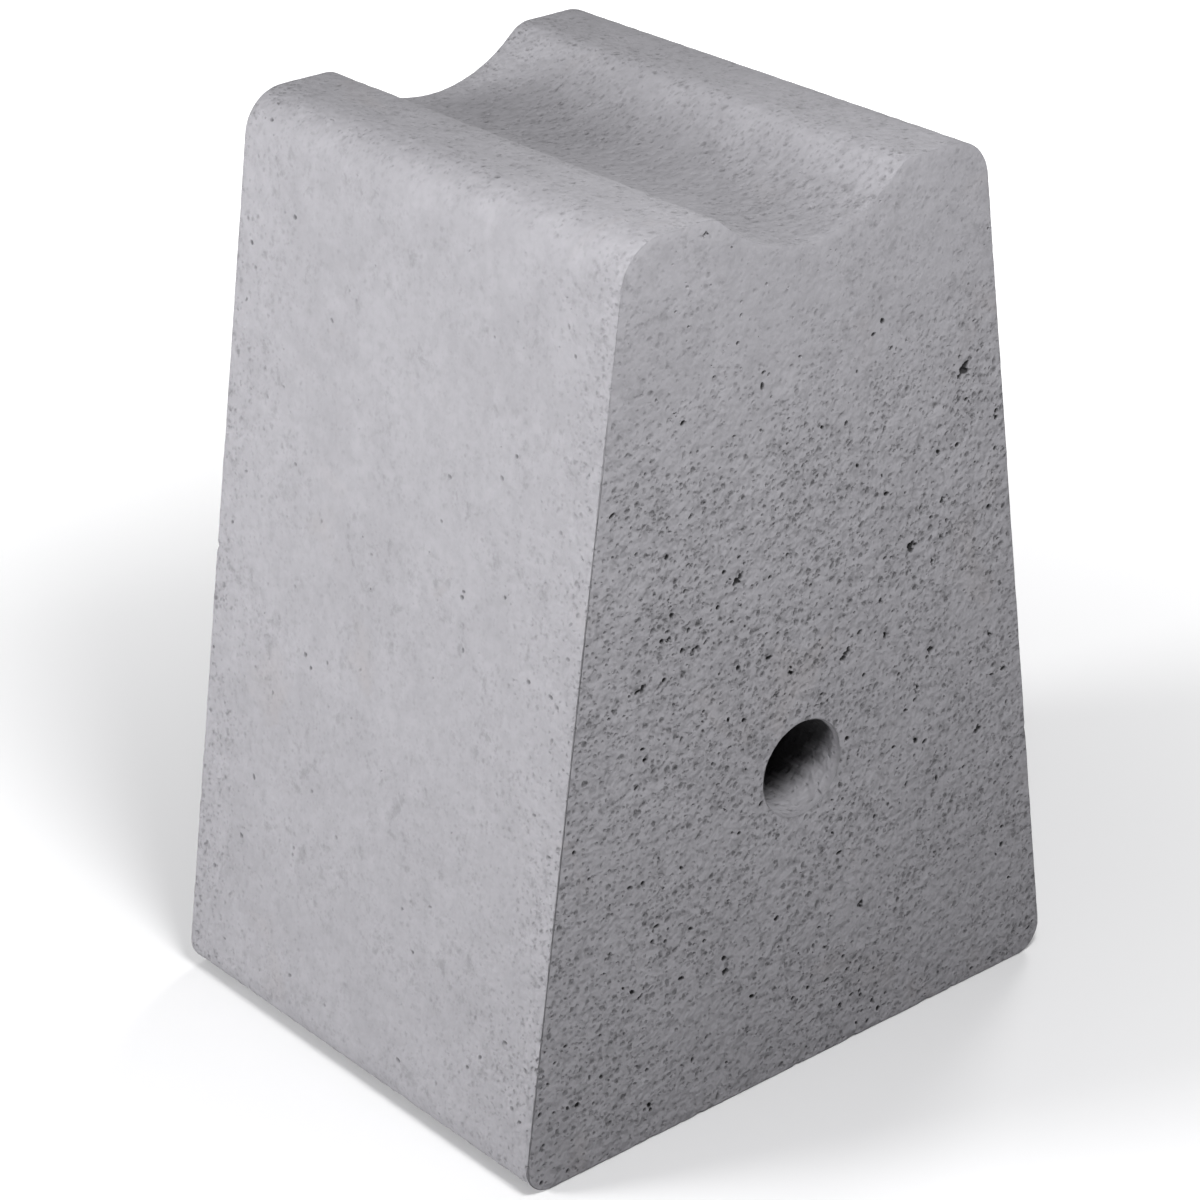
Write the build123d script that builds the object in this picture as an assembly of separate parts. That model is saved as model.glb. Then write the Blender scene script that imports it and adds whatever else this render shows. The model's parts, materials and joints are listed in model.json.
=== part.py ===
from build123d import *
import math
import os

# A tapered concrete saddle block, cast in one pour round a tied steel cage.
# Frame: origin at the middle of the underside, +Z up, the trough and the hole run along Y.
# Millimetres throughout.

# ---- the block -------------------------------------------------------------------------
HEIGHT = 500.0
LENGTH = 300.0  # along Y, between the two upright end faces
BASE_WIDTH = 380.0  # across X at the underside, before the corners are rounded
TOP_WIDTH = 236.0  # across X at the top, before the corners are rounded
BASE_CORNER_R = 16.0
TOP_CORNER_R = 25.0
SADDLE_R = 85.0  # the round trough along the top
SADDLE_DEPTH = 27.0
SADDLE_LIP_R = 15.0  # rounding where the trough meets the flat shoulders
HOLE_R = 27.0  # the carrying hole through both end faces
HOLE_HEIGHT = 183.0
OVERRUN = 10.0  # how far the hole's cutter stands out of each face

# ---- the cage --------------------------------------------------------------------------
COVER = 30.0  # concrete between the mould and the links
MAIN_R = 4.0  # corner bars and saddle bars, 8 mm
LINK_R = 3.0  # links and hairpins, 6 mm
BEND_R = 15.0  # bend radius at a 6 mm bar's centreline
GAP = 1.0  # mortar film between bars that cross
BAR_END_COVER = 35.0  # concrete past the ends of the straight bars
HOOK_TURN = 135.0  # degrees
HOOK_TAIL = 32.0  # straight tail after a link's hook
LINK_LEVELS = {"base": 45.0, "low": 120.0, "mid": 245.0, "upper": 330.0, "head": 415.0}
HAIRPIN_X = 55.0  # a hairpin's legs stand either side of the hole
HAIRPIN_TOP = 280.0
HAIRPIN_FOOT = 70.0
SADDLE_BAR_X = {"left": -42.0, "middle": 0.0, "right": 42.0}

# ---- ties, spacers and chairs ----------------------------------------------------------
WIRE_R = 0.8
TIE_CLEARANCE = 0.8
TIE_TAIL = 9.0  # twisted ends of a tie
TIE_TAIL_R = 1.3
WHEEL_SKIN = 2.0  # mortar skin between a wheel's rim and the mould face
WHEEL_RIM = 3.5
WHEEL_WIDTH = 8.0
WHEEL_SPOKES = 6
WHEEL_SPOKE = 3.0
HUB_WALL = 2.5
CLIP_CLEARANCE = 0.3
LOW_WHEEL_X = 78.0  # the low wheels stand clear of the hole and the hooks
CHAIR_X = 75.0
CHAIR_FOOT_R = 11.0
CHAIR_HEAD_R = 7.0

# ---- worked out from the above ---------------------------------------------------------
SIDE_ANGLE = math.atan2((BASE_WIDTH - TOP_WIDTH) / 2, HEIGHT)
LINK_DEPTH = COVER + LINK_R  # mould face to a link's centreline
LINK_Y = LENGTH / 2 - LINK_DEPTH
LINK_RISE = 2 * LINK_R + GAP  # a link climbs this much, so that its two hooks lie one on the other
NEST = BEND_R - (BEND_R - LINK_R - MAIN_R - GAP) / math.sqrt(2)  # corner bar inside a link's corner
CORNER_Y = LINK_Y - NEST
HAIRPIN_Y = LINK_Y - 2 * LINK_R - GAP
HOOK_REACH = BEND_R * math.tan(math.radians(HOOK_TURN / 2))  # bend start to the hook's corner
HOOK_Y = LINK_Y - BEND_R + HOOK_REACH
SADDLE_BAR_Z = LINK_LEVELS["head"] + LINK_RISE / 2 + LINK_R + MAIN_R + GAP


def side_x(z):
    """Half of the block's width at height z."""
    return BASE_WIDTH / 2 - z * math.tan(SIDE_ANGLE)


def link_x(z):
    """Half of a link's width at height z, at its centreline."""
    return side_x(z) - LINK_DEPTH / math.cos(SIDE_ANGLE)


def save(name, solids):
    """Write one node: a solid, or several separate solids as a group."""
    group = list(solids) if isinstance(solids, (list, tuple)) else [solids]
    shape = group[0] if len(group) == 1 else Compound(group)
    shape.label = name
    export_step(shape, f"parts/{name}.step")
    return group


def round_bar(points, radius, bend=0.0):
    """A round bar along straight runs with bent corners."""
    if len(points) == 2:
        path = Edge.make_line(points[0], points[1])
    else:
        path = FilletPolyline(*points, radius=bend)
    start = Plane(origin=path @ 0, z_dir=path % 0)
    return sweep(start * Circle(radius), path=path).solid()


# ---- concrete --------------------------------------------------------------------------
def block_outline():
    """The block's section across Y: a trapezoid with rounded corners and a round trough."""
    trapezoid = Polygon(
        (-BASE_WIDTH / 2, 0),
        (BASE_WIDTH / 2, 0),
        (TOP_WIDTH / 2, HEIGHT),
        (-TOP_WIDTH / 2, HEIGHT),
        align=None,
    )
    foot = fillet(trapezoid.vertices().group_by(Axis.Y)[0], BASE_CORNER_R)
    body = fillet(foot.vertices().group_by(Axis.Y)[-1], TOP_CORNER_R)
    trough = Pos(0, HEIGHT - SADDLE_DEPTH + SADDLE_R) * Circle(SADDLE_R)
    saddle = body - trough
    lips = saddle.vertices().group_by(Axis.Y)[-1].sort_by(lambda v: abs(v.X))[:2]
    return fillet(lips, SADDLE_LIP_R)


def plain_block():
    section = Plane.XZ * block_outline()
    hole = Pos(0, 0, HOLE_HEIGHT) * Rot(90, 0, 0) * Cylinder(HOLE_R, LENGTH + 2 * OVERRUN)
    return extrude(section, LENGTH / 2, both=True) - hole


# ---- bars ------------------------------------------------------------------------------
def corner_bar(side_sign, end_sign):
    """One bar up a corner, leaning with the sloping side."""
    ends = []
    for z in (BAR_END_COVER, HEIGHT - BAR_END_COVER):
        ends.append((side_sign * (link_x(z) - NEST), end_sign * CORNER_Y, z))
    return round_bar(ends, MAIN_R)


def link(level):
    """A closed link bent from one bar, with two hooks round the front right corner bar."""
    low, middle, high = (LINK_LEVELS[level] + climb for climb in (0, LINK_RISE / 2, LINK_RISE))
    step = (HOOK_REACH + HOOK_TAIL) / math.sqrt(2)
    near_x = link_x(low) - BEND_R + HOOK_REACH
    points = [
        (near_x - step, -LINK_Y + step, low),
        (near_x, -LINK_Y, low),
        (-link_x(low), -LINK_Y, low),
        (-link_x(middle), LINK_Y, middle),
        (link_x(middle), LINK_Y, middle),
        (link_x(high), -HOOK_Y, high),
        (link_x(high) - step, -HOOK_Y + step, high),
    ]
    return round_bar(points, LINK_R, BEND_R)


def end_leg_z(level, end_sign):
    """Height of a link's level leg along the front (-1) or rear (+1) end."""
    return LINK_LEVELS[level] + (0 if end_sign < 0 else LINK_RISE / 2)


def side_leg_z(level, side_sign):
    """Height of a link's climbing leg at the middle of the left (-1) or right (+1) side."""
    climb = LINK_RISE / 4 if side_sign < 0 else LINK_RISE / 2 * (1 + LINK_Y / (LINK_Y + HOOK_Y))
    return LINK_LEVELS[level] + climb


def hairpin(end_sign):
    """An upside-down U over the hole."""
    y = end_sign * HAIRPIN_Y
    points = [
        (-HAIRPIN_X, y, HAIRPIN_FOOT),
        (-HAIRPIN_X, y, HAIRPIN_TOP),
        (HAIRPIN_X, y, HAIRPIN_TOP),
        (HAIRPIN_X, y, HAIRPIN_FOOT),
    ]
    return round_bar(points, LINK_R, BEND_R)


def saddle_bar(x):
    reach = LENGTH / 2 - BAR_END_COVER
    return round_bar([(x, -reach, SADDLE_BAR_Z), (x, reach, SADDLE_BAR_Z)], MAIN_R)


# ---- ties ------------------------------------------------------------------------------
def tie(first, first_r, second, second_r, diagonal):
    """A wire ring round two crossing bars, seen at their nearest points, with a twisted tail."""
    first, second = Vector(*first), Vector(*second)
    across = (second - first).normalized()
    middle = (first + across * -first_r + second + across * second_r) * 0.5
    half_across = (second - first).length / 2 + (first_r + second_r) / 2 + TIE_CLEARANCE + WIRE_R
    half_along = max(first_r, second_r) * math.sqrt(2) + TIE_CLEARANCE + WIRE_R
    ring_plane = Plane(origin=middle, x_dir=across, z_dir=across.cross(Vector(*diagonal)))
    path = (ring_plane * RectangleRounded(2 * half_across, 2 * half_along, first_r + WIRE_R)).wire()
    ring = sweep(Plane(origin=path @ 0, z_dir=path % 0) * Circle(WIRE_R), path=path)
    root = middle - across * half_across
    tail = Plane(origin=root, z_dir=-across) * Pos(0, 0, TIE_TAIL / 2) * Cylinder(TIE_TAIL_R, TIE_TAIL)
    return (ring + tail).solid()


def corner_ties(level):
    """Ties at the three corners of a link that have no hooks."""
    ties = []
    for side_sign, end_sign in ((-1, -1), (-1, 1), (1, 1)):
        z = end_leg_z(level, end_sign)
        bend = BEND_R * (1 - 1 / math.sqrt(2))
        bar = (side_sign * (link_x(z) - NEST), end_sign * CORNER_Y, z)
        leg = (side_sign * (link_x(z) - bend), end_sign * (LINK_Y - bend), z)
        ties.append(tie(bar, MAIN_R, leg, LINK_R, (side_sign, -end_sign, math.sqrt(2))))
    return ties


def hairpin_ties(level):
    """Ties where the hairpins' legs pass inside a link."""
    ties = []
    for end_sign in (-1, 1):
        z = end_leg_z(level, end_sign)
        for x in (-HAIRPIN_X, HAIRPIN_X):
            leg = (x, end_sign * HAIRPIN_Y, z)
            ties.append(tie(leg, LINK_R, (x, end_sign * LINK_Y, z), LINK_R, (1, 0, 1)))
    return ties


def saddle_ties():
    """Ties where the saddle bars rest on the head link."""
    ties = []
    for end_sign in (-1, 1):
        for x in SADDLE_BAR_X.values():
            bar = (x, end_sign * LINK_Y, SADDLE_BAR_Z)
            leg = (x, end_sign * LINK_Y, end_leg_z("head", end_sign))
            ties.append(tie(bar, MAIN_R, leg, LINK_R, (1, 1, 0)))
    return ties


# ---- spacers ---------------------------------------------------------------------------
def wheel_parts():
    """A spacer wheel round Z at the origin, and the plug of space that it fills."""
    outer = LINK_DEPTH * math.cos(SIDE_ANGLE) - WHEEL_SKIN
    bore = LINK_R + CLIP_CLEARANCE
    rim = Cylinder(outer, WHEEL_WIDTH) - Cylinder(outer - WHEEL_RIM, WHEEL_WIDTH)
    solid_hub = Cylinder(bore + HUB_WALL, WHEEL_WIDTH)
    plug = rim + solid_hub
    reach = outer - WHEEL_RIM / 2
    for i in range(WHEEL_SPOKES):
        spoke = Pos(reach / 2, 0, 0) * Box(reach, WHEEL_SPOKE, WHEEL_WIDTH / 2)
        plug += Rot(0, 0, i * 360 / WHEEL_SPOKES) * spoke
    return plug - Cylinder(bore, WHEEL_WIDTH), plug


def wheel_places():
    """Where the wheels sit, each turned so that its axis lies along the leg it is clipped to."""
    along_x = Rot(0, 90, 0)
    along_y = Rot(90, 0, 0)
    places = []
    for end_sign in (-1, 1):
        for x in (-LOW_WHEEL_X, LOW_WHEEL_X):
            places.append(Pos(x, end_sign * LINK_Y, end_leg_z("low", end_sign)) * along_x)
        places.append(Pos(0, end_sign * LINK_Y, end_leg_z("upper", end_sign)) * along_x)
    for level in ("low", "upper"):
        for side_sign in (-1, 1):
            z = side_leg_z(level, side_sign)
            places.append(Pos(side_sign * link_x(z), 0, z) * along_y)
    return places


def chair_parts():
    """The chairs under the base link's end legs, and the plugs of space that they fill."""
    chairs, plugs = [], []
    for end_sign in (-1, 1):
        top = end_leg_z("base", end_sign)
        tall = top - WHEEL_SKIN
        for x in (-CHAIR_X, CHAIR_X):
            place = Pos(x, end_sign * LINK_Y, WHEEL_SKIN + tall / 2)
            cone = place * Cone(CHAIR_FOOT_R, CHAIR_HEAD_R, tall)
            leg = Pos(x, end_sign * LINK_Y, top) * Rot(0, 90, 0)
            notch = leg * Cylinder(LINK_R + CLIP_CLEARANCE, 3 * CHAIR_FOOT_R)
            chairs.append((cone - notch).solid())
            plugs.append(cone.solid())
    return chairs, plugs


# ---- build every node ------------------------------------------------------------------
os.makedirs("parts", exist_ok=True)

embedded = []
for end_name, end_sign in (("front", -1), ("rear", 1)):
    for side_name, side_sign in (("left", -1), ("right", 1)):
        embedded += save(f"corner_bar_{end_name}_{side_name}", corner_bar(side_sign, end_sign))
    embedded += save(f"lifting_hairpin_{end_name}", hairpin(end_sign))
for place, x in SADDLE_BAR_X.items():
    embedded += save(f"saddle_bar_{place}", saddle_bar(x))
for level in LINK_LEVELS:
    embedded += save(f"link_{level}", link(level))
    ties = corner_ties(level)
    if level in ("low", "mid"):
        ties += hairpin_ties(level)
    if level == "head":
        ties += saddle_ties()
    embedded += save(f"tie_wires_{level}", ties)

wheel, wheel_plug = wheel_parts()
save("wheel_spacers", [(place * wheel).solid() for place in wheel_places()])
embedded += [(place * wheel_plug).solid() for place in wheel_places()]

base_chairs, chair_plugs = chair_parts()
save("base_chairs", base_chairs)
embedded += chair_plugs

block = plain_block().cut(*embedded)
save("concrete_block", block.solid())
print("embedded pieces:", len(embedded))
print("saddle bar height:", round(SADDLE_BAR_Z, 1), "corner nest:", round(NEST, 2))
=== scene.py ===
import json
import math
from collections import namedtuple

import bmesh
import bpy
import numpy as np
from mathutils import Matrix, Vector
from mathutils.geometry import delaunay_2d_cdt


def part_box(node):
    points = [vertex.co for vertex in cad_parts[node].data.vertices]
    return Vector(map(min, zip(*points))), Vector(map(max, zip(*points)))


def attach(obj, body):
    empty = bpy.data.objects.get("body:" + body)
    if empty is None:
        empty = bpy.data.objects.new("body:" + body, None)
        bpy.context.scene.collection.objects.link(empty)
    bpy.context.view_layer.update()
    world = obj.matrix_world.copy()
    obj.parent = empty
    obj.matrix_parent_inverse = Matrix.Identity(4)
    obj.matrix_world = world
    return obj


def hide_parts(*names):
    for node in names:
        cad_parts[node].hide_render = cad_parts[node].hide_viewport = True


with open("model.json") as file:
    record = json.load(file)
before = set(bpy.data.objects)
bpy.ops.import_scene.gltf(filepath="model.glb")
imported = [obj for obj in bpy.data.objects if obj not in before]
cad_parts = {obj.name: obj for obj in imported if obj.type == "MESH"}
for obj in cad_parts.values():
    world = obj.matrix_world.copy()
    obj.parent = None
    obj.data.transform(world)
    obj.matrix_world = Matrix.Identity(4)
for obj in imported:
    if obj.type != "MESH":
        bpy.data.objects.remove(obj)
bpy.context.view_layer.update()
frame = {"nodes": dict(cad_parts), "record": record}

# A concrete saddle block. The cast surface is built here, with its pores, worn arrises and
# grain, in the place of the CAD's block. The cage inside keeps the CAD's shapes.
# Metres. X across the block, Y along the trough and the hole, Z up, origin under the middle.

MM = 0.001

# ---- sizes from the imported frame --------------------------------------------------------
_, BLOCK_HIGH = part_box("concrete_block")
MOUNTS = {mount["name"]: mount for mount in frame["record"]["mounts"]}
HEIGHT = BLOCK_HIGH.z
HALF_LENGTH = BLOCK_HIGH.y
HOLE_R = MOUNTS["carrying_hole"]["dims"]["r_mm"] * MM
HOLE_Z = MOUNTS["carrying_hole"]["pos_m"][2]
TROUGH_Z = MOUNTS["rail_trough"]["pos_m"][2]

# ---- the section's own dimensions -------------------------------------------------------
BASE_WIDTH = 380 * MM  # between the sloping sides, before rounding
TOP_WIDTH = 236 * MM
BASE_CORNER_R = 16 * MM
TOP_CORNER_R = 25 * MM
TROUGH_R = 85 * MM
LIP_R = 15 * MM

# ---- the cast surface -------------------------------------------------------------------
OUTLINE_STEP = 3.2 * MM  # spacing of the points along the arrises
SURFACE_STEP = 7.4 * MM  # spacing of the points on the mould's faces
END_STEP = 5.2 * MM  # on the rougher end faces
HOLE_STEP = 4.2 * MM  # and on the hole's wall
HOLE_STEPS = 84  # points round the hole's rim
ARRIS = 0.9 * MM  # wear of the sharp edges
CHIP = 2.6 * MM  # extra wear where an arris is chipped
CHIPS_FROM = 0.74  # the noise above which it is
ARRIS_OPENNESS = 0.3  # how open the surface is on a worn edge, from 0 to 1
WALL_OPENNESS = 0.55  # and on the hole's wall
WALL_EVENNESS = 0.4  # the wall's unevenness, as a share of a cast face's
SWELL = 0.30 * MM  # slow unevenness of a cast face
RIPPLE = 0.10 * MM  # and a quicker one on top
LUMP = 0.35 * MM  # coarse grain of an end face
TROWELLED = (320 * MM, 450 * MM)  # the heights where an end face starts to close, and is closed
PAINTED_LIGHT_REACH = 40 * MM  # how far up the hole its wall keeps its painted light, before the painted shade within
PAINTED_LIGHT_SHARES = ((-1, -0.3, 0.4), (1.5, 0.95, 0.25))  # shares of it: -1 is the hole's floor, 1 its roof
JITTER = 0.45  # how far a point of the open grid strays, as a share of the spacing
SHARP_ANGLE = math.radians(38)  # edges sharper than this aren't smoothed over
SEED = 20

# ---- the pores --------------------------------------------------------------------------
# how many there are on a face, their radii, their depths as shares of the radius, and the most
# that one is longer than it's wide
PoreKind = namedtuple("PoreKind", "count radius depth stretch")
END_PINHOLES = PoreKind(1450, (0.5 * MM, 1.15 * MM), (0.6, 1.2), 1.6)
END_PORES = PoreKind(260, (0.9 * MM, 1.8 * MM), (1.0, 1.7), 2.0)
END_WELLS = PoreKind(24, (1.2 * MM, 1.7 * MM), (1.6, 2.2), 1.6)
TEAR_HEARTS = PoreKind(26, (0.8 * MM, 1.5 * MM), (1.0, 1.0), 1.6)
MANTLE_PORES = PoreKind(1000, (0.55 * MM, 1.6 * MM), (0.3, 0.75), 2.0)
HOLE_PORES = PoreKind(70, (0.6 * MM, 1.5 * MM), (0.7, 1.2), 2.2)
TRIES = 12  # places tried for each pore
SMALLNESS = 2.2  # how much commoner the smaller pores of a kind are
DEEP = 1.5 * MM  # the depth at which a pore's dirt and painted shade are as dark as they get
PORE_MARGIN = 1.2 * MM  # room between a pore's middle and the edge of its face
POINT_MARGIN = 0.7 * MM  # and between any point inside a face and its edge
RIM_MARGIN = 2 * MM  # more room round the hole, whose rim is worn
PORE_ROOM = 1.3 * MM  # room round a pore that the open grid's points keep clear of
POINT_GAP = 0.32 * MM  # points of the pores' rings closer than this are thinned out
WELDED = 1e-7  # and points of a patch closer than this are one
# x and z, in millimetres, and the half-length of each large torn place on the front face
FRONT_TEARS = (
    (108, 376, 6.0),
    (75, 287, 5.0),
    (131, 159, 4.0),
    (-46, 306, 4.0),
    (29, 239, 3.5),
    (-110, 267, 3.5),
    (92, 221, 3.0),
    (-53, 81, 3.5),
    (45, 83, 3.0),
)


# ---- noise ------------------------------------------------------------------------------
def lattice_hash(i, j, k, seed):
    """A repeatable number from 0 to 1 for each whole-number lattice point."""
    mix = i * 374761393 + j * 668265263 + k * 2147483647 + seed * 974634777
    mix = (mix ^ (mix >> 13)) * 1274126177
    return ((mix ^ (mix >> 16)) & 0xFFFFFF) / float(0xFFFFFF)


def noise(points, size, seed):
    """Smooth value noise from 0 to 1 at an array of points, with cells of the given size."""
    scaled = np.asarray(points, float) / size
    base = np.floor(scaled).astype(np.int64)
    part = scaled - base
    part = part * part * (3 - 2 * part)
    total = 0
    for corner in range(8):
        step = np.array([corner & 1, corner >> 1 & 1, corner >> 2 & 1])
        weight = np.where(step == 1, part, 1 - part).prod(axis=1)
        i, j, k = (base + step).T
        total = total + weight * lattice_hash(i, j, k, seed)
    return total


# ---- the section ------------------------------------------------------------------------
SLOPE = math.atan2((BASE_WIDTH - TOP_WIDTH) / 2, HEIGHT)


def side_x(z):
    return BASE_WIDTH / 2 - z * math.tan(SLOPE)


def arc(centre, radius, start, end, step=0.25 * MM):
    """Points and outward normals along an arc. A hollow arc runs from a large to a small angle."""
    count = max(3, int(abs(end - start) * radius / step))
    angles = np.linspace(start, end, count)
    direction = np.stack([np.cos(angles), np.sin(angles)], 1)
    outward = direction if end > start else -direction
    return np.array(centre) + radius * direction, outward


def right_half():
    """The right half of the outline, from the middle of the underside up to the trough's floor."""
    base_x = side_x(BASE_CORNER_R) - BASE_CORNER_R / math.cos(SLOPE)
    top_z = HEIGHT - TOP_CORNER_R
    top_x = side_x(top_z) - TOP_CORNER_R / math.cos(SLOPE)
    trough_centre = np.array([0, TROUGH_Z + TROUGH_R])
    lip_z = HEIGHT - LIP_R
    lip_x = math.sqrt((TROUGH_R + LIP_R) ** 2 - (trough_centre[1] - lip_z) ** 2)
    lip_angle = math.atan2(lip_z - trough_centre[1], lip_x)
    runs = [
        (np.array([[0.0, 0.0]]), np.array([[0.0, -1.0]])),
        arc((base_x, BASE_CORNER_R), BASE_CORNER_R, -math.pi / 2, SLOPE),
        arc((top_x, top_z), TOP_CORNER_R, SLOPE, math.pi / 2),
        # the lip turns on past upright, down into the trough
        arc((lip_x, lip_z), LIP_R, math.pi / 2, lip_angle + math.pi),
        arc(trough_centre, TROUGH_R, lip_angle, -math.pi / 2),
    ]
    return np.concatenate([run[0] for run in runs]), np.concatenate([run[1] for run in runs])


def outline_table():
    """The whole outline, as arc length, points and outward normals, round from the underside."""
    points, normals = right_half()
    mirror = np.array([-1, 1])
    points = np.concatenate([points, (points * mirror)[::-1][1:]])
    normals = np.concatenate([normals, (normals * mirror)[::-1][1:]])
    lengths = np.hypot(*np.diff(points, axis=0).T)
    return np.concatenate([[0], np.cumsum(lengths)]), points, normals


ARC_LENGTH, OUTLINE, OUTLINE_NORMAL = outline_table()
PERIMETER = ARC_LENGTH[-1]


def on_outline(s):
    """Points (x, z) and outward normals of the section at arc lengths s."""
    s = np.mod(s, PERIMETER)
    point = np.stack([np.interp(s, ARC_LENGTH, OUTLINE[:, i]) for i in (0, 1)], 1)
    normal = np.stack([np.interp(s, ARC_LENGTH, OUTLINE_NORMAL[:, i]) for i in (0, 1)], 1)
    return point, normal / np.hypot(*normal.T)[:, None]


# ---- how open the cast surface is -------------------------------------------------------
def roughness_of_mantle(points):
    """The moulded faces are close and fine, more open on top, low down and near the arrises."""
    place, normal = on_outline(points[:, 0])
    upward = np.clip(normal[:, 1] - 0.25, 0, 0.5) * 2
    low = 1 - place[:, 1] / HEIGHT
    to_arris = HALF_LENGTH - np.abs(points[:, 1])
    return np.maximum(0.39 * upward, 0.07 + 0.17 * low + 0.40 * np.exp(-to_arris / (40 * MM)))


def crowd(points, seed):
    """From 0 to 1 over a surface's flat places: patches where pores crowd together."""
    flat = np.column_stack([points, np.zeros(len(points))])
    wide = noise(flat, 60 * MM, seed)
    close = noise(flat, 17 * MM, seed + 40)
    return np.clip((0.55 * wide + 0.45 * close - 0.25) * 2.0, 0.05, 1)


def roughness_of_end(points):
    """An end face is closed near the top, where it was trowelled, and more open lower down."""
    rise = np.clip((points[:, 1] - TROWELLED[0]) / (TROWELLED[1] - TROWELLED[0]), 0, 1)
    return 1 - 0.28 * points[:, 1] / HEIGHT - 0.44 * rise * rise * (3 - 2 * rise)


# ---- strewing pores ---------------------------------------------------------------------
PORE_FIELDS = [(name, float) for name in ("u", "v", "long", "short", "turn", "depth")]


def scatter(rng, box, kind, inside, thickness):
    """Pores of a kind over a box of the surface's own (u, v), as thick as thickness says."""
    low, high = np.array(box[0]), np.array(box[1])
    spots = low + rng.random((kind.count * TRIES, 2)) * (high - low)
    keep = rng.random(len(spots)) < thickness(spots)
    spots = spots[keep & inside(spots)][:kind.count]
    smallest, largest = kind.radius
    size = smallest + (largest - smallest) * rng.random(len(spots)) ** SMALLNESS
    return shaped(rng, spots, size, kind.depth, kind.stretch)


def shaped(rng, spots, size, depth, stretch):
    """Pores at given spots, each an oval of its own length, turn and depth."""
    pores = np.zeros(len(spots), PORE_FIELDS)
    shape = 1 + (stretch - 1) * rng.random(len(spots)) ** 1.5
    pores["u"], pores["v"] = spots.T
    pores["long"] = size * np.sqrt(shape)
    pores["short"] = size / np.sqrt(shape)
    pores["turn"] = rng.random(len(spots)) * math.pi
    pores["depth"] = size * (depth[0] + (depth[1] - depth[0]) * rng.random(len(spots)))
    return pores


def torn_pores(rng, box, inside, thickness, spread=2.3 * MM):
    """Torn places, each a knot of deep pores that run into each other along a slanting line."""
    hearts = scatter(rng, box, TEAR_HEARTS, inside, thickness)
    spots, sizes = [], []
    for heart in hearts:
        members = rng.integers(3, 9)
        along = rng.normal(0, spread, members)
        aside = rng.normal(0, 0.35 * spread, members)
        cos, sin = math.cos(heart["turn"]), math.sin(heart["turn"])
        spots.append(np.column_stack([
            heart["u"] + along * cos - aside * sin,
            heart["v"] + along * sin + aside * cos,
        ]))
        fading = np.exp(-(along / (2 * spread)) ** 2)
        sizes.append(heart["long"] * (0.5 + 0.5 * rng.random(members)) * fading)
    spots, sizes = np.concatenate(spots), np.concatenate(sizes)
    kept = inside(spots)
    return shaped(rng, spots[kept], sizes[kept], (1.0, 1.9), 1.8)


def front_tears(rng):
    """The largest torn places on the front face."""
    spots, sizes = [], []
    for x, z, reach in FRONT_TEARS:
        members = rng.integers(7, 12)
        along = rng.normal(0, 0.45 * reach * MM, members)
        aside = rng.normal(0, 0.25 * reach * MM, members)
        # each slants up to the right, four across to three up
        spots.append(np.column_stack([
            x * MM + 0.8 * along - 0.6 * aside,
            z * MM + 0.6 * along + 0.8 * aside,
        ]))
        sizes.append(0.5 * MM + reach * MM * (0.10 + 0.2 * rng.random(members)))
    return shaped(rng, np.concatenate(spots), np.concatenate(sizes), (1.1, 2.0), 1.9)


def pore_rings(pores, wide=1.15 * MM):
    """Points that carry the pores' shapes: rims, and walls or a floor inside them."""
    rings = []
    for size_class, plan in (
        (pores["long"] < wide, ((1.06, 7), (0.62, 5))),
        (pores["long"] >= wide, ((1.06, 11), (0.86, 10), (0.5, 6), (0.0, 1))),
    ):
        some = pores[size_class]
        for reach, sides in plan:
            angles = np.arange(sides) * 2 * math.pi / sides
            x = reach * some["long"][:, None] * np.cos(angles)
            y = reach * some["short"][:, None] * np.sin(angles)
            cos, sin = np.cos(some["turn"])[:, None], np.sin(some["turn"])[:, None]
            u = some["u"][:, None] + x * cos - y * sin
            v = some["v"][:, None] + x * sin + y * cos
            rings.append(np.stack([u.ravel(), v.ravel()], 1))
    return np.concatenate(rings)


def pore_depth(points, pores):
    """How deep each point lies in the pores."""
    depth = np.zeros(len(points))
    order = np.argsort(points[:, 0])
    sorted_u = points[order, 0]
    for pore in pores:
        reach = pore["long"] * 1.2
        first, last = np.searchsorted(sorted_u, [pore["u"] - reach, pore["u"] + reach])
        near = order[first:last]
        du, dv = points[near, 0] - pore["u"], points[near, 1] - pore["v"]
        cos, sin = math.cos(pore["turn"]), math.sin(pore["turn"])
        x = (du * cos + dv * sin) / pore["long"]
        y = (dv * cos - du * sin) / pore["short"]
        bowl = np.clip(1 - x * x - y * y, 0, 1) ** 0.7
        depth[near] = np.maximum(depth[near], bowl * pore["depth"])
    return depth


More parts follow.
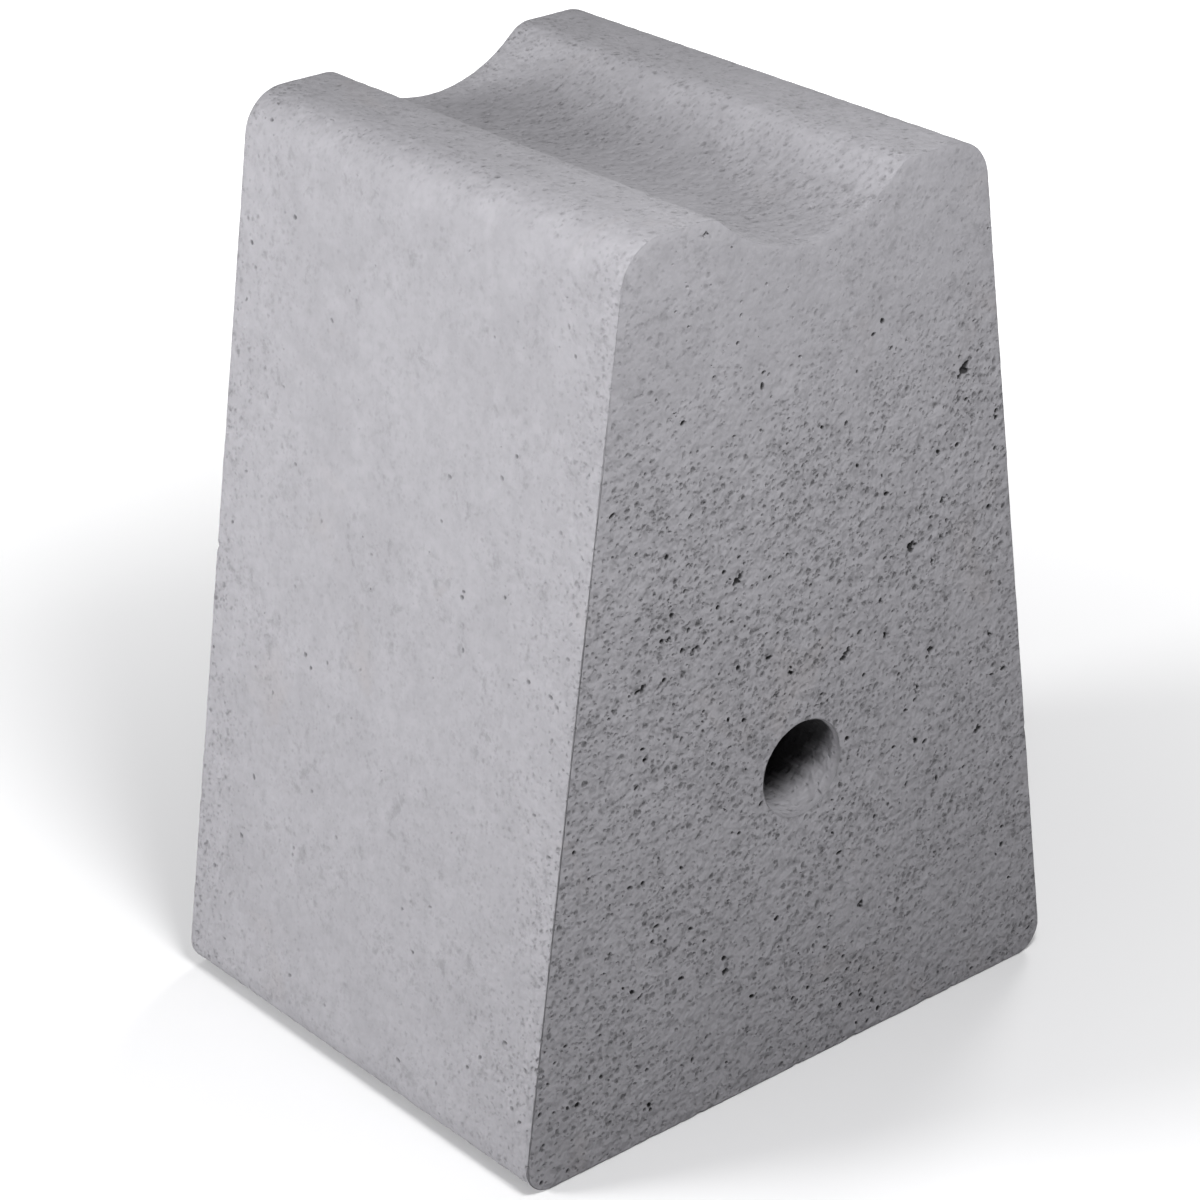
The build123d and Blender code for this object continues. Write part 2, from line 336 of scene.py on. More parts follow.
# ---- the skin's mesh --------------------------------------------------------------------
class Skin:
    """One welded mesh, gathered a patch at a time, with what the concrete's material reads at each
    point: how deep it lies in a pore, how open the surface is, and how far up the hole it is,
    which sets the hole's painted light and shade."""

    def __init__(self):
        self.points, self.faces = [], []
        self.marks = {"pore": [], "open_face": [], "painted_hole_shading": []}
        self.size = 0

    def add(self, points, pore, open_face, painted_hole_shading=0.0):
        first = self.size
        self.points.append(points)
        for name, value in (("pore", pore), ("open_face", open_face), ("painted_hole_shading", painted_hole_shading)):
            self.marks[name].append(np.broadcast_to(value, len(points)))
        self.size += len(points)
        return np.arange(first, self.size)

    def strip(self, row, next_row):
        """Two triangles for each step between two closed rows."""
        ahead, next_ahead = np.roll(row, -1), np.roll(next_row, -1)
        self.faces.append(np.stack([row, ahead, next_ahead], 1))
        self.faces.append(np.stack([row, next_ahead, next_row], 1))

    def patch(self, loops, inner, inner_index, keep=None):
        """Triangles between closed loops of points and the points inside them. A loop is (flat
        places, places in the mesh), so that neighbouring patches meet at the same points."""
        flat = np.concatenate([loop[0] for loop in loops] + [inner])
        index = np.concatenate([loop[1] for loop in loops] + [inner_index])
        edges, start = [], 0
        for loop in loops:
            count = len(loop[0])
            edges += [(start + i, start + (i + 1) % count) for i in range(count)]
            start += count
        made = delaunay_2d_cdt([Vector(p) for p in flat], edges, [], 1, WELDED)
        source = np.array([origin[0] for origin in made[3]])
        faces = source[np.array(made[2])]
        if keep:
            faces = faces[keep(flat[faces].mean(axis=1))]
        self.faces.append(index[faces])


def thinned(points, gap):
    """The points with near repeats dropped."""
    cells = np.round(points / gap).astype(np.int64)
    _, first = np.unique(cells, axis=0, return_index=True)
    return points[np.sort(first)]


def open_points(rng, box, step):
    """A jittered triangular grid over a box."""
    (u0, v0), (u1, v1) = box
    columns = np.arange(u0, u1, step)
    rows = np.arange(v0, v1, step * math.sqrt(3) / 2)
    grid = np.concatenate([
        np.column_stack([columns + step / 2 * (i % 2), np.full(len(columns), v)])
        for i, v in enumerate(rows)
    ])
    return grid + (rng.random(grid.shape) - 0.5) * step * JITTER


def inner_points(rng, box, pores, inside, step):
    """The points inside a patch: an open grid with room left round the pores, and their rings."""
    grid = open_points(rng, box, step)
    grid = grid[inside(grid, POINT_MARGIN + step * JITTER)]
    rings = pore_rings(pores)
    rings = thinned(rings[inside(rings, POINT_MARGIN)], POINT_GAP)
    grown = pores.copy()
    grown["long"] += PORE_ROOM
    grown["short"] += PORE_ROOM
    return np.concatenate([grid[pore_depth(grid, grown) == 0], rings])


def unevenness(points, seed):
    """The slow swell and ripple of a cast face, always inwards."""
    return SWELL * noise(points, 55 * MM, seed) + RIPPLE * noise(points, 12 * MM, seed + 1)


def sunk(points, normals, extra=0.0):
    """Ideal points pushed in along their normals by the unevenness, and by a pore's depth."""
    return points - normals * (unevenness(points, SEED + 30) + extra)[:, None]


# ---- places on the block ----------------------------------------------------------------
def lift(flat, y):
    """Section points (x, z) taken to a place along Y."""
    return np.column_stack([flat[:, 0], np.broadcast_to(y, len(flat)), flat[:, 1]])


def on_mantle(flat, depth=0.0):
    """The surface round the block, from (arc length, y)."""
    point, normal = on_outline(flat[:, 0])
    return sunk(lift(point, flat[:, 1]), lift(normal, 0.0), depth)


def lumps(end, flat):
    """The coarser grain of an end face, as a depth."""
    return LUMP * roughness_of_end(flat) * noise(lift(flat, end * HALF_LENGTH), 5 * MM, SEED + 35)


def on_end(end, flat, depth=0.0):
    """An upright end face, from (x, z)."""
    normal = np.array([[0.0, end, 0.0]])
    return sunk(lift(flat, end * HALF_LENGTH), normal, depth + lumps(end, flat))


def on_hole_wall(flat, depth=0.0):
    """The hole's wall, from (arc length, y)."""
    angle = flat[:, 0] / HOLE_R
    out = np.stack([np.cos(angle), np.sin(angle)], 1)
    ideal = lift(out * HOLE_R + (0, HOLE_Z), flat[:, 1])
    return ideal + lift(out, 0.0) * (WALL_EVENNESS * unevenness(ideal, SEED + 30) + depth)[:, None]


def wear(points, size, chip, seed):
    """How far a sharp edge is worn back: a little everywhere, with chips where the noise peaks."""
    chips = np.clip((noise(points, 7 * MM, seed) - CHIPS_FROM) / (1 - CHIPS_FROM), 0, 1)
    return size * (0.55 + 0.7 * noise(points, 3.1 * MM, seed + 1)) + chip * chips


ROUND_OFF = 1 - math.sqrt(0.5)  # a worn edge's middle row, as a share of its wear
OUTLINE_COUNT = round(PERIMETER / OUTLINE_STEP)
OUTLINE_S = np.arange(OUTLINE_COUNT) * PERIMETER / OUTLINE_COUNT
RIM_ANGLE = np.arange(HOLE_STEPS) * 2 * math.pi / HOLE_STEPS


def arris_middle(skin, end, edge, outward, worn, flat):
    """The middle row of a worn edge, sunk aslant and with most of the end face's lumps."""
    back = worn * ROUND_OFF
    middle = lift(edge - outward * back[:, None], end * (HALF_LENGTH - back))
    aslant = lift(outward, end) * math.sqrt(0.5)
    return skin.add(sunk(middle, aslant, 0.7 * lumps(end, flat)), 0, ARRIS_OPENNESS)


def outer_arris(skin, end):
    """The three rows of the worn edge round an end face. Gives the face's row, the mantle's, and
    the wear."""
    point, normal = on_outline(OUTLINE_S)
    worn = wear(lift(point, end * HALF_LENGTH), ARRIS, CHIP, SEED + 50)
    flat = point - normal * worn[:, None]
    cap_row = skin.add(on_end(end, flat), 0, roughness_of_end(flat))
    middle_row = arris_middle(skin, end, point, normal, worn, flat)
    edge = np.column_stack([OUTLINE_S, end * (HALF_LENGTH - worn)])
    mantle_row = skin.add(on_mantle(edge), 0, roughness_of_mantle(edge))
    skin.strip(cap_row, middle_row)
    skin.strip(middle_row, mantle_row)
    return (flat, cap_row), (edge, mantle_row), worn


def hole_arris(skin, end):
    """The same at the hole's rim."""
    out = np.stack([np.cos(RIM_ANGLE), np.sin(RIM_ANGLE)], 1)
    rim = out * HOLE_R + (0, HOLE_Z)
    worn = wear(lift(rim, end * HALF_LENGTH), 0.7 * ARRIS, 0.5 * CHIP, SEED + 60)
    flat = rim + out * worn[:, None]
    cap_row = skin.add(on_end(end, flat), 0, 1)
    middle_row = arris_middle(skin, end, rim, -out, worn, flat)
    edge = np.column_stack([RIM_ANGLE * HOLE_R, end * (HALF_LENGTH - worn)])
    wall_row = skin.add(on_hole_wall(edge), 0, 0)
    skin.strip(cap_row, middle_row)
    skin.strip(middle_row, wall_row)
    return (flat, cap_row), (edge, wall_row), worn


def depth_inside(points, worn):
    """How far section points (x, z) lie inside the worn outline. Negative outside."""
    outline, normals = on_outline(OUTLINE_S)
    result = np.empty(len(points))
    block = 2000
    for start in range(0, len(points), block):
        some = points[start:start + block]
        nearest = ((some[:, None] - outline) ** 2).sum(axis=2).argmin(axis=1)
        past = ((some - outline[nearest]) * normals[nearest]).sum(axis=1)
        result[start:start + block] = -past - worn[nearest]
    return result


def end_face(skin, rng, end, outer, rim, worn):
    """An end face: the open, granular side of the cast, full of pores."""
    def inside(points, margin=PORE_MARGIN):
        from_hole = np.hypot(points[:, 0], points[:, 1] - HOLE_Z)
        clear_of_hole = from_hole > HOLE_R + RIM_MARGIN + margin
        return clear_of_hole & (depth_inside(points, worn) > margin)

    def outside_rim(middles):
        """Not the triangles that would span the hole: its rim is straight from point to point."""
        away = middles - (0, HOLE_Z)
        turn = np.arctan2(away[:, 1], away[:, 0]) % (2 * math.pi)
        step = (turn / (2 * math.pi) * HOLE_STEPS).astype(int) % HOLE_STEPS
        first, second = rim[0][step], rim[0][(step + 1) % HOLE_STEPS]
        along, aside = (second - first).T, (middles - first).T
        return along[0] * aside[1] - along[1] * aside[0] < 0

    def crowded(points):
        return roughness_of_end(points) ** 2 * crowd(points, SEED + 3 + end)

    box = ((-BASE_WIDTH / 2, 0), (BASE_WIDTH / 2, HEIGHT))
    tears = torn_pores(rng, box, inside, crowded)
    if end < 0:
        tears = np.concatenate([tears, front_tears(rng)])
    kinds = (END_PINHOLES, END_PORES, END_WELLS)
    pores = np.concatenate([scatter(rng, box, kind, inside, crowded) for kind in kinds] + [tears])
    inner = inner_points(rng, box, pores, inside, END_STEP)
    depth = pore_depth(inner, pores)
    index = skin.add(on_end(end, inner, depth), depth / DEEP, roughness_of_end(inner))
    skin.patch([outer, rim], inner, index, outside_rim)


def painted_shading_up_the_hole(points):
    """From 0 at either mouth of the hole to 1 where its painted shade is full, soonest along its
    roof.
    """
    reach = PAINTED_LIGHT_REACH * np.interp(np.sin(points[:, 0] / HOLE_R), *PAINTED_LIGHT_SHARES)
    return np.clip((HALF_LENGTH - np.abs(points[:, 1])) / reach, 0, 1)


def around(skin, place, length, rows, step, open_face=0.0, painted_hole_shading=lambda points: 0.0):
    """The loop of a surface that closes on itself, unrolled: two rows, and the seam twice."""
    (low_flat, low_index), (high_flat, high_index) = rows
    low, high = low_flat[0, 1], high_flat[0, 1]
    seam_y = np.linspace(low, high, round((high - low) / step) + 1)[1:-1]
    seam = np.column_stack([np.zeros(len(seam_y)), seam_y])
    seam_index = skin.add(place(seam), 0, open_face, painted_hole_shading(seam))
    far = np.array([length, 0])
    flat = [low_flat, low_flat[:1] + far, seam + far, high_flat[:1] + far, high_flat[::-1]]
    index = [low_index, low_index[:1], seam_index, high_index[:1], high_index[::-1]]
    return np.concatenate(flat + [seam[::-1]]), np.concatenate(index + [seam_index[::-1]])


def unrolled_room(points, length, places, worn):
    """How far points of an unrolled surface lie from its worn ends and from its seam."""
    front, rear = (np.interp(points[:, 0], places, w, period=length) for w in worn)
    to_front, to_rear = points[:, 1] + HALF_LENGTH - front, HALF_LENGTH - points[:, 1] - rear
    to_seam = np.minimum(points[:, 0], length - points[:, 0])
    return np.minimum(np.minimum(to_front, to_rear), to_seam)


def mantle(skin, rng, rows, worn):
    """The mould-smooth surface round the block: underside, sides, shoulders and trough."""
    def inside(points, margin=PORE_MARGIN):
        return unrolled_room(points, PERIMETER, OUTLINE_S, worn) > margin

    def near_ends(points):
        """The pores lie thicker towards the arrises and the foot, where the mix is rammed less."""
        to_arris = HALF_LENGTH - np.abs(points[:, 1])
        low = 1 - on_outline(points[:, 0])[0][:, 1] / HEIGHT
        near = np.exp(-to_arris / (36 * MM))
        return crowd(points, SEED + 15) * (0.18 + 0.26 * low + 0.6 * near)

    box = ((0, -HALF_LENGTH), (PERIMETER, HALF_LENGTH))
    pores = scatter(rng, box, MANTLE_PORES, inside, near_ends)
    inner = inner_points(rng, box, pores, inside, SURFACE_STEP)
    depth = pore_depth(inner, pores)
    index = skin.add(on_mantle(inner, depth), depth / DEEP, roughness_of_mantle(inner))
    loop = around(skin, on_mantle, PERIMETER, rows, SURFACE_STEP)
    skin.patch([loop], inner, index)


def hole_wall(skin, rng, rows, worn):
    """The hole's wall, left by a smooth core: a few pores only."""
    length = 2 * math.pi * HOLE_R

    def inside(points, margin=PORE_MARGIN):
        return unrolled_room(points, length, RIM_ANGLE * HOLE_R, worn) > margin

    def patchy(points):
        return crowd(points, SEED + 21)

    box = ((0, -HALF_LENGTH), (length, HALF_LENGTH))
    pores = scatter(rng, box, HOLE_PORES, inside, patchy)
    inner = inner_points(rng, box, pores, inside, HOLE_STEP)
    depth = pore_depth(inner, pores)
    index = skin.add(on_hole_wall(inner, depth), depth / DEEP, WALL_OPENNESS, painted_shading_up_the_hole(inner))
    loop = around(skin, on_hole_wall, length, rows, HOLE_STEP, WALL_OPENNESS, painted_shading_up_the_hole)
    skin.patch([loop], inner, index)


def build_skin():
    """The whole cast surface as one closed mesh."""
    rng = np.random.default_rng(SEED)
    skin = Skin()
    outer = {end: outer_arris(skin, end) for end in (-1, 1)}
    rims = {end: hole_arris(skin, end) for end in (-1, 1)}
    for end in (-1, 1):
        end_face(skin, rng, end, outer[end][0], rims[end][0], outer[end][2])
    mantle(skin, rng, (outer[-1][1], outer[1][1]), (outer[-1][2], outer[1][2]))
    hole_wall(skin, rng, (rims[-1][1], rims[1][1]), (rims[-1][2], rims[1][2]))

    mesh = bpy.data.meshes.new("concrete_skin")
    mesh.from_pydata(np.concatenate(skin.points), [], np.concatenate(skin.faces).tolist())
    for name, values in skin.marks.items():
        mark = mesh.attributes.new(name, "FLOAT", "POINT")
        mark.data.foreach_set("value", np.concatenate(values).astype(np.float32))
    edit = bmesh.new()
    edit.from_mesh(mesh)
    bmesh.ops.recalc_face_normals(edit, faces=edit.faces)
    edit.to_mesh(mesh)
    edit.free()
    mesh.polygons.foreach_set("use_smooth", [True] * len(mesh.polygons))
    mesh.set_sharp_from_angle(angle=SHARP_ANGLE)
    block = bpy.data.objects.new("concrete_skin", mesh)
    bpy.context.scene.collection.objects.link(block)
    return block


# ---- materials --------------------------------------------------------------------------
def set_range(map_range, *numbers):
    """The four numbers of a map range node: from low and high, to low and high."""
    for name, number in zip(("From Min", "From Max", "To Min", "To Max"), numbers):
        map_range.inputs[name].default_value = number


class Nodes:
    """A material's node tree, written as short calls."""

    def __init__(self, name):
        self.material = bpy.data.materials.new(name)
        self.material.use_nodes = True
        self.tree = self.material.node_tree
        self.tree.nodes.clear()
        self.output = self.node("ShaderNodeOutputMaterial")
        self.shader = self.node("ShaderNodeBsdfPrincipled")
        self.tree.links.new(self.shader.outputs[0], self.output.inputs["Surface"])
        self.place = self.node("ShaderNodeTexCoord").outputs["Object"]

    def node(self, kind, **settings):
        made = self.tree.nodes.new(kind)
        for key, value in settings.items():
            setattr(made, key, value)
        return made

    def put(self, socket, value):
        if isinstance(value, bpy.types.NodeSocket):
            self.tree.links.new(value, socket)
        else:
            socket.default_value = value

    def stretched(self, scale):
        """The place, scaled by a different amount each way."""
        made = self.node("ShaderNodeMapping")
        self.put(made.inputs["Vector"], self.place)
        made.inputs["Scale"].default_value = scale
        return made.outputs[0]

    def noise(self, scale, detail=2.0, rough=0.5, place=None, warp=0.0):
        made = self.node("ShaderNodeTexNoise")
        self.put(made.inputs["Vector"], place or self.place)
        made.inputs["Scale"].default_value = scale
        made.inputs["Detail"].default_value = detail
        made.inputs["Roughness"].default_value = rough
        made.inputs["Distortion"].default_value = warp
        return made.outputs["Fac"]

    def warped(self, scale, reach):
        """The place, pushed about by up to the reach, which makes round shapes ragged."""
        push = self.node("ShaderNodeTexNoise")
        self.put(push.inputs["Vector"], self.place)
        push.inputs["Scale"].default_value = scale
        made = self.node("ShaderNodeVectorMath", operation="MULTIPLY_ADD")
        self.put(made.inputs[0], push.outputs["Color"])
        made.inputs[1].default_value = (reach, reach, reach)
        self.put(made.inputs[2], self.place)
        return made.outputs[0]

    def cells(self, scale, place=None):
        """Distance to the nearest scattered point, and a random value for that point."""
        made = self.node("ShaderNodeTexVoronoi")
        self.put(made.inputs["Vector"], place or self.place)
        made.inputs["Scale"].default_value = scale
        pick = self.node("ShaderNodeSeparateColor")
        self.put(pick.inputs[0], made.outputs["Color"])
        return made.outputs["Distance"], pick.outputs[0]

    def attribute(self, name):
        return self.node("ShaderNodeAttribute", attribute_name=name).outputs["Fac"]

    def math(self, operation, first, second):
        made = self.node("ShaderNodeMath", operation=operation)
        self.put(made.inputs[0], first)
        self.put(made.inputs[1], second)
        return made.outputs[0]

    def times(self, first, second):
        return self.math("MULTIPLY", first, second)

    def total(self, *terms):
        """The sum of some values, given as pairs of a share and a value."""
        parts = [value if share == 1 else self.times(value, share) for share, value in terms]
        result = parts[0]
        for part in parts[1:]:
            result = self.math("ADD", result, part)
        return result

    def ramp(self, value, low, high, out_low=0.0, out_high=1.0):
        """A value mapped from one range to another, smoothly, and held at the ends."""
        made = self.node("ShaderNodeMapRange", interpolation_type="SMOOTHSTEP")
        set_range(made, low, high, out_low, out_high)
        self.put(made.inputs["Value"], value)
        return made.outputs["Result"]

    def mix(self, share, first, second):
        made = self.node("ShaderNodeMix", data_type="RGBA")
        self.put(made.inputs["Factor"], share)
        self.put(made.inputs["A"], first)
        self.put(made.inputs["B"], second)
        return made.outputs["Result"]

    def bump(self, height, distance):
        made = self.node("ShaderNodeBump")
        made.inputs["Distance"].default_value = distance
        self.put(made.inputs["Height"], height)
        self.put(self.shader.inputs["Normal"], made.outputs[0])

    def finish(self, **values):
        for name, value in values.items():
            self.put(self.shader.inputs[name.replace("_", " ")], value)
        return self.material


def grey(level, warmth=0.0):
    """A concrete grey, cool by default. Warmth turns it towards brown."""
    red, green, blue = 1 + 0.06 * warmth, 0.985 - 0.01 * warmth, 1.045 - 0.09 * warmth
    return level * red, level * green, level * blue, 1


def pits(look, scale, widest, share, crowding):
    """Ragged hollows, from 0 outside to 1 at their middles, thick where the crowding is high."""
    gap, pick = look.cells(scale, look.warped(1.5 * scale, 0.6 / scale))
    hollow = look.ramp(gap, widest, 0.12 * widest)
    return look.times(hollow, look.ramp(look.math("ADD", pick, crowding), 1 - share, 1.25 - share))


def concrete():
    """Bare dry-cast concrete: cement grey, clouded and grainy, rougher at the ends, with painted
    shade in its pits, dirt and painted shade in its pores, painted shade at its foot, and painted
    light and shade in its hole.
    """
    look = Nodes("bare_concrete")
    open_face = look.attribute("open_face")
    pore = look.attribute("pore")
    painted_hole_shading = look.attribute("painted_hole_shading")

    # the cement skin's own colour: slow clouds, blotches, a few brownish stains
    clouds = look.noise(11, detail=5, rough=0.6)
    blotches = look.noise(42, detail=3, rough=0.55, warp=0.4)
    mottle = look.noise(150, detail=3, rough=0.6)
    colour = look.mix(look.ramp(clouds, 0.32, 0.68), grey(0.222), grey(0.240))
    colour = look.mix(look.times(look.ramp(blotches, 0.35, 0.7), 0.8), colour, grey(0.252))
    stain = look.ramp(look.noise(17, detail=3, rough=0.5, warp=0.6), 0.60, 0.74)
    colour = look.mix(look.times(stain, 0.35), colour, grey(0.222, warmth=0.8))
    colour = look.mix(look.ramp(mottle, 0.30, 0.75, 0.0, 0.40), colour, grey(0.195))

    # painted shade in pinholes of two sizes, thick in patches, and in the lows of the grain
    crowding = look.ramp(look.noise(24, detail=3, rough=0.6), 0.36, 0.64, -0.28, 0.30)
    coarse_pits = pits(look, 200, 0.42, 0.47, crowding)
    fine_pits = pits(look, 340, 0.46, 0.75, crowding)
    grain = look.noise(230, detail=1, rough=0.5)
    painted_grain_shade = look.ramp(grain, 0.45, 0.28, 0.0, 0.24)
    painted_pit_shade = look.total((0.62, coarse_pits), (0.40, fine_pits), (1, painted_grain_shade))
    painted_pit_shade = look.times(painted_pit_shade, look.ramp(open_face, 0.08, 1, 0.22, 1.0))
    # painted shade: the pits and the grain's lows are darkened as if shadowed
    colour = look.mix(painted_pit_shade, colour, grey(0.060))

    # painted shade: darker towards the foot, and most where the surface is open
    height = look.node("ShaderNodeSeparateXYZ")
    look.put(height.inputs[0], look.place)
    foot = look.total((1, height.outputs["Z"]), (0.12, clouds))
    painted_foot_shade = look.ramp(foot, 0.38, 0.02, 0.0, 0.18)
    painted_foot_shade = look.times(painted_foot_shade, look.ramp(open_face, 0.2, 0.8, 0.3, 1.0))
    colour = look.mix(painted_foot_shade, colour, grey(0.150))

    # soft smudges where the mould's oil and the paste have dried darker
    smudges = look.ramp(look.noise(105, detail=4, rough=0.65, warp=0.3), 0.53, 0.70)
    smudges = look.times(smudges, look.ramp(crowding, -0.25, 0.25))
    colour = look.mix(look.times(smudges, 0.42), colour, grey(0.125))

    # dirt and painted shade deep in the pores, and the hole: painted light past its mouths, painted
    # shade within
    colour = look.mix(look.ramp(pore, 0.05, 0.95, 0.0, 0.92), colour, grey(0.012))
    # painted light: past its mouths the hole's wall is made paler, where light falls into it
    colour = look.mix(look.ramp(painted_hole_shading, 0.0, 0.15, 0.0, 0.55), colour, grey(0.33))
    # painted shade: deeper in, the wall is darkened to near black with a ragged edge, where the
    # hole lies in shadow
    shadow_wisps = look.noise(60, detail=4, rough=0.65, place=look.stretched((3.0, 0.35, 3.0)))
    hole_shadow = look.total((1, painted_hole_shading), (0.5, shadow_wisps))
    colour = look.mix(look.ramp(hole_shadow, 0.45, 1.06, 0.0, 0.93), colour, grey(0.012))

    # sandy relief on the open surface, and a faint one on the closed
    sandy = look.noise(120, detail=1)
    relief = look.total((1.8, grain), (1.8, sandy), (-1.2, coarse_pits), (-0.70, fine_pits))
    skin_relief = look.total((0.40, look.noise(95, detail=3)), (0.15, grain))
    surface = look.node("ShaderNodeMix", data_type="FLOAT")
    look.put(surface.inputs["Factor"], look.ramp(open_face, 0, 1))
    look.put(surface.inputs["A"], skin_relief)
    look.put(surface.inputs["B"], relief)
    look.bump(surface.outputs["Result"], 1.3 * MM)
    roughness = look.ramp(mottle, 0.2, 0.8, 0.86, 0.97)
    return look.finish(Base_Color=colour, Roughness=roughness, Specular_IOR_Level=0.22)


def steel_bar():
    """Hot-rolled bar: blue-grey mill scale breaking to rust."""
    look = Nodes("mill_scale_steel")
    rust = look.ramp(look.noise(60, detail=6, rough=0.65), 0.46, 0.60)
    freckle = look.ramp(look.noise(420, detail=4, rough=0.6), 0.50, 0.66)
    rust = look.math("MAXIMUM", rust, look.times(freckle, 0.7))
    tone = look.mix(look.noise(180, detail=3), (0.045, 0.048, 0.056, 1), (0.085, 0.082, 0.080, 1))
    red = look.mix(look.noise(240, detail=4), (0.16, 0.055, 0.022, 1), (0.30, 0.12, 0.045, 1))
    look.bump(look.total((1, look.noise(700, detail=4)), (0.5, rust)), 0.12 * MM)
    colour = look.mix(rust, tone, red)
    return look.finish(Base_Color=colour, Roughness=look.ramp(rust, 0, 1, 0.42, 0.9),
                       Metallic=look.ramp(rust, 0, 1, 0.85, 0.0))


def tie_wire():
    """Soft black annealed wire with drawn lines and a dusting of rust."""
    look = Nodes("annealed_wire")
    drawn = look.noise(900, detail=2, place=look.stretched((1, 1, 0.08)))
    rust = look.ramp(look.noise(260, detail=4, rough=0.6), 0.58, 0.70)
    dark = look.mix(drawn, (0.030, 0.030, 0.032, 1), (0.075, 0.072, 0.070, 1))
    look.bump(drawn, 0.04 * MM)
    colour = look.mix(rust, dark, (0.20, 0.085, 0.035, 1))
    return look.finish(Base_Color=colour, Roughness=look.ramp(rust, 0, 1, 0.38, 0.85),
                       Metallic=look.ramp(rust, 0, 1, 0.9, 0.1))


def spacer_plastic():
    """Grey plastic moulded from regrind: slight swirl, fine grain, cement smears."""
    look = Nodes("regrind_plastic")
    swirl = look.noise(70, detail=3, warp=2.5)
    smear = look.ramp(look.noise(130, detail=5, rough=0.65), 0.54, 0.68)
    body = look.mix(swirl, (0.075, 0.077, 0.082, 1), (0.13, 0.13, 0.135, 1))
    look.bump(look.total((1, look.noise(1500, detail=2)), (0.8, smear)), 0.05 * MM)
    colour = look.mix(smear, body, grey(0.30))
    return look.finish(Base_Color=colour, Roughness=look.ramp(smear, 0, 1, 0.46, 0.92))


def chair_mortar():
    """Pressed fibre mortar: pale, fine and speckled."""
    look = Nodes("fibre_mortar")
    gap, pick = look.cells(900)
    speck = look.times(look.ramp(gap, 0.1, 0.35, 1.0, 0.0), look.ramp(pick, 0.5, 0.7))
    fibre = look.ramp(look.noise(600, detail=2, place=look.stretched((1, 0.12, 1))), 0.62, 0.74)
    body = look.mix(look.noise(55, detail=5), grey(0.30, warmth=0.3), grey(0.40, warmth=0.2))
    body = look.mix(look.times(speck, 0.5), body, grey(0.16))
    look.bump(look.total((1, look.noise(800, detail=3)), (0.6, fibre)), 0.15 * MM)
    return look.finish(Base_Color=look.mix(look.times(fibre, 0.4), body, grey(0.5)), Roughness=0.93)


def dress_cage():
    """The CAD's own steel and spacers keep their shapes and take these materials."""
    by_slot = {
        "reinforcing_steel": steel_bar(),
        "tie_wire": tie_wire(),
        "spacer_plastic": spacer_plastic(),
        "chair_mortar": chair_mortar(),
    }
    for part in frame["record"]["subparts"]:
        if part["material_slot"] in by_slot:
            slots = frame["nodes"][part["node"]].data.materials
            slots.clear()
            slots.append(by_slot[part["material_slot"]])


# ---- stage, light and camera ------------------------------------------------------------
FLOOR_HALF = 60.0  # half its width, far enough to reach the horizon


def floor():
    """A plain pale floor. Away from the block it glows a little, and so it stays pale all round."""
    half = FLOOR_HALF
    corners = [(-half, -half, 0), (half, -half, 0), (half, half, 0), (-half, half, 0)]
    mesh = bpy.data.meshes.new("studio_floor")
    mesh.from_pydata(corners, [], [(0, 1, 2, 3)])
    made = bpy.data.objects.new("studio_floor", mesh)
    bpy.context.scene.collection.objects.link(made)
    look = Nodes("studio_floor")
    tone = look.mix(look.noise(1.5, detail=2), (0.70, 0.70, 0.705, 1), (0.72, 0.72, 0.725, 1))
    away = look.node("ShaderNodeVectorMath", operation="LENGTH")
    look.put(away.inputs[0], look.place)
    glow = look.ramp(away.outputs["Value"], 0.1, 1.4, 0.0, 0.67)
    mesh.materials.append(look.finish(Base_Color=tone, Roughness=0.9, Specular_IOR_Level=0.1,
                                      Emission_Color=(1, 1, 1, 1), Emission_Strength=glow))


LIT_HEIGHT = 0.28  # the height that every light faces
LIGHT_SPREAD = 0.35  # a light's size, as a share of its distance


def seen_from(azimuth, elevation):
    """The direction out to a viewpoint, from the front at azimuth 0 and from the right at 90."""
    level = math.cos(elevation)
    return Vector((math.sin(azimuth) * level, -math.cos(azimuth) * level, math.sin(elevation)))


def soft_light(name, azimuth, elevation, distance, power):
    """A round soft light that faces the block, from an azimuth and elevation in degrees."""
    out = seen_from(math.radians(azimuth), math.radians(elevation))
    light = bpy.data.lights.new(name, "AREA")
    light.shape = "DISK"
    light.size = LIGHT_SPREAD * distance
    light.energy = power * distance * distance
    made = bpy.data.objects.new(name, light)
    made.location = Vector((0, 0, LIT_HEIGHT)) + out * distance
    made.rotation_euler = (-out).to_track_quat("-Z", "Y").to_euler()
    made.visible_camera = False
    bpy.context.scene.collection.objects.link(made)


SURROUND_FADE = (0.06, 0.20)  # from low down to higher up, as the sine of the elevation
SURROUND_STRENGTH = (0.90, 0.27)


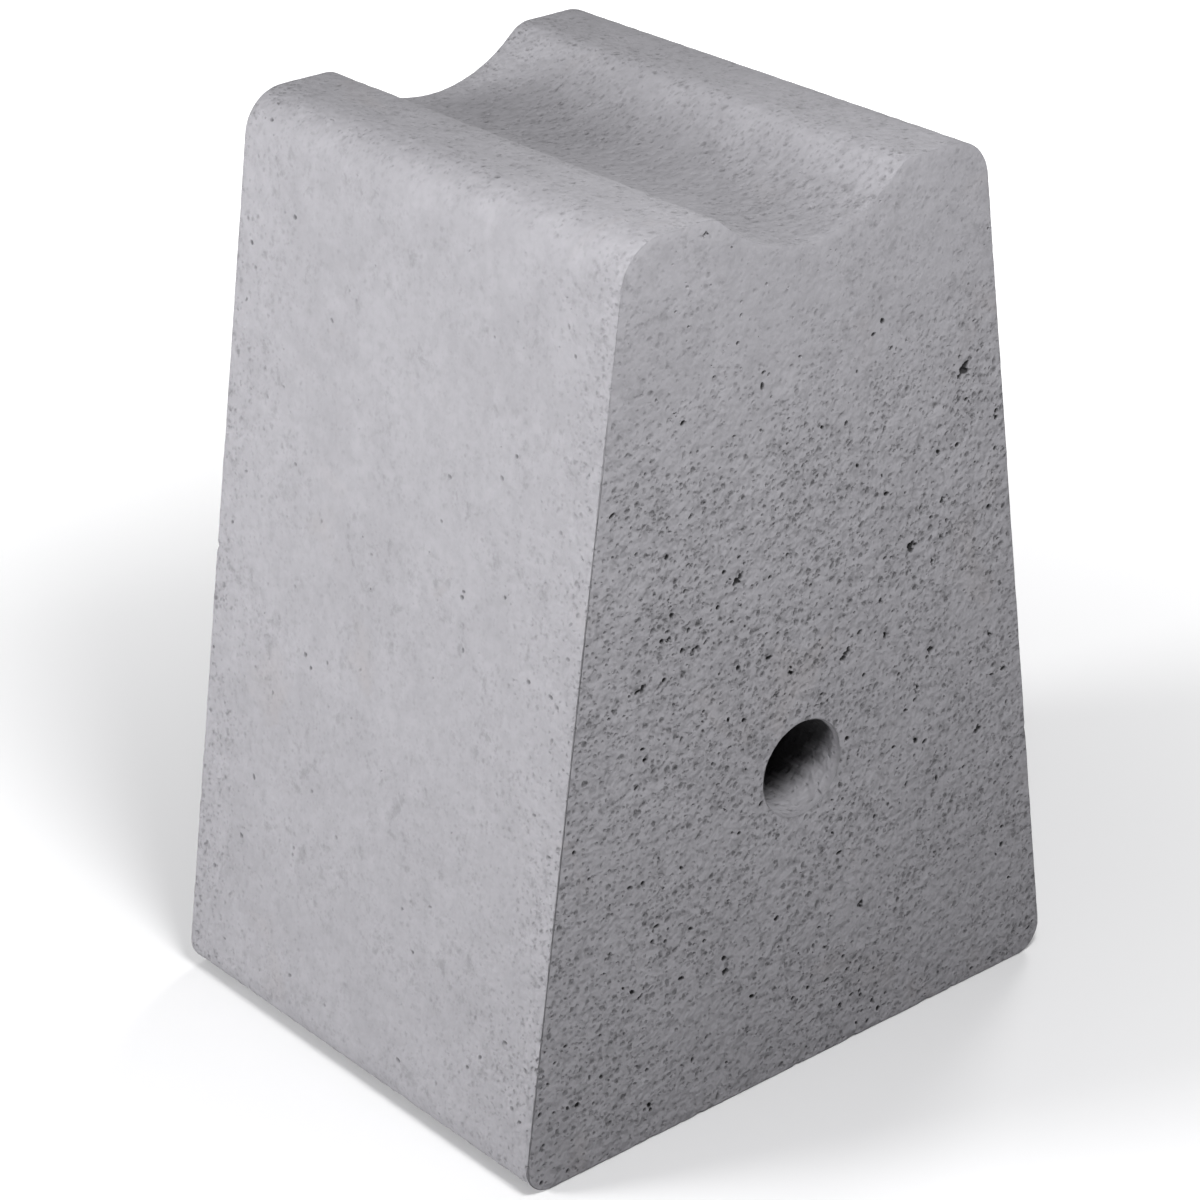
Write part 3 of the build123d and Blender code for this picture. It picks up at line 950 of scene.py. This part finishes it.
def surround():
    """A soft white surround, paler low down, where it stands behind the block in a low view."""
    world = bpy.data.worlds.new("studio")
    world.use_nodes = True
    tree = world.node_tree
    direction = tree.nodes.new("ShaderNodeTexCoord").outputs["Generated"]
    split = tree.nodes.new("ShaderNodeSeparateXYZ")
    strength = tree.nodes.new("ShaderNodeMapRange")
    strength.interpolation_type = "SMOOTHSTEP"
    set_range(strength, *SURROUND_FADE, *SURROUND_STRENGTH)
    tree.links.new(direction, split.inputs[0])
    tree.links.new(split.outputs["Z"], strength.inputs["Value"])
    background = tree.nodes["Background"].inputs
    background["Color"].default_value = (1.0, 1.0, 1.01, 1)
    tree.links.new(strength.outputs["Result"], background["Strength"])
    bpy.context.scene.world = world


def lights():
    """A key light from the left, one from the front and above, and a weak one from behind."""
    surround()
    soft_light("side_key", -115, 12, 2.2, 11.4)
    soft_light("front_top", -20, 53, 1.1, 10.2)
    soft_light("back_fill", 115, 21, 2.6, 4.0)


VIEW_AZIMUTH = math.radians(-40.16)  # from the front, towards the left side
VIEW_ELEVATION = math.radians(26.28)
VIEW_ROLL = math.radians(-0.51)
VIEW_DISTANCE = 1.9407
AIM_RIGHT = -7.0 * MM  # the view's middle, from the block's middle
AIM_UP = -22.9 * MM
LENS = 108.4


def camera():
    """The photo's viewpoint, fitted to its edges."""
    back = seen_from(VIEW_AZIMUTH, VIEW_ELEVATION)
    level_right = Vector((0, 0, 1)).cross(back).normalized()
    level_up = back.cross(level_right)
    right = level_right * math.cos(VIEW_ROLL) + level_up * math.sin(VIEW_ROLL)
    up = back.cross(right)
    place = Vector((0, 0, HEIGHT / 2)) + back * VIEW_DISTANCE + right * AIM_RIGHT + up * AIM_UP
    data = bpy.data.cameras.new("photo_view")
    data.lens = LENS
    made = bpy.data.objects.new("photo_view", data)
    made.matrix_world = Matrix.Translation(place) @ Matrix((right, up, back)).transposed().to_4x4()
    bpy.context.scene.collection.objects.link(made)
    bpy.context.scene.camera = made


# ---- the scene --------------------------------------------------------------------------
camera()
lights()
floor()
dress_cage()
skin = build_skin()
skin.data.materials.append(concrete())
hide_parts("concrete_block")
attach(skin, "root")
bpy.context.scene.view_settings.view_transform = "Standard"
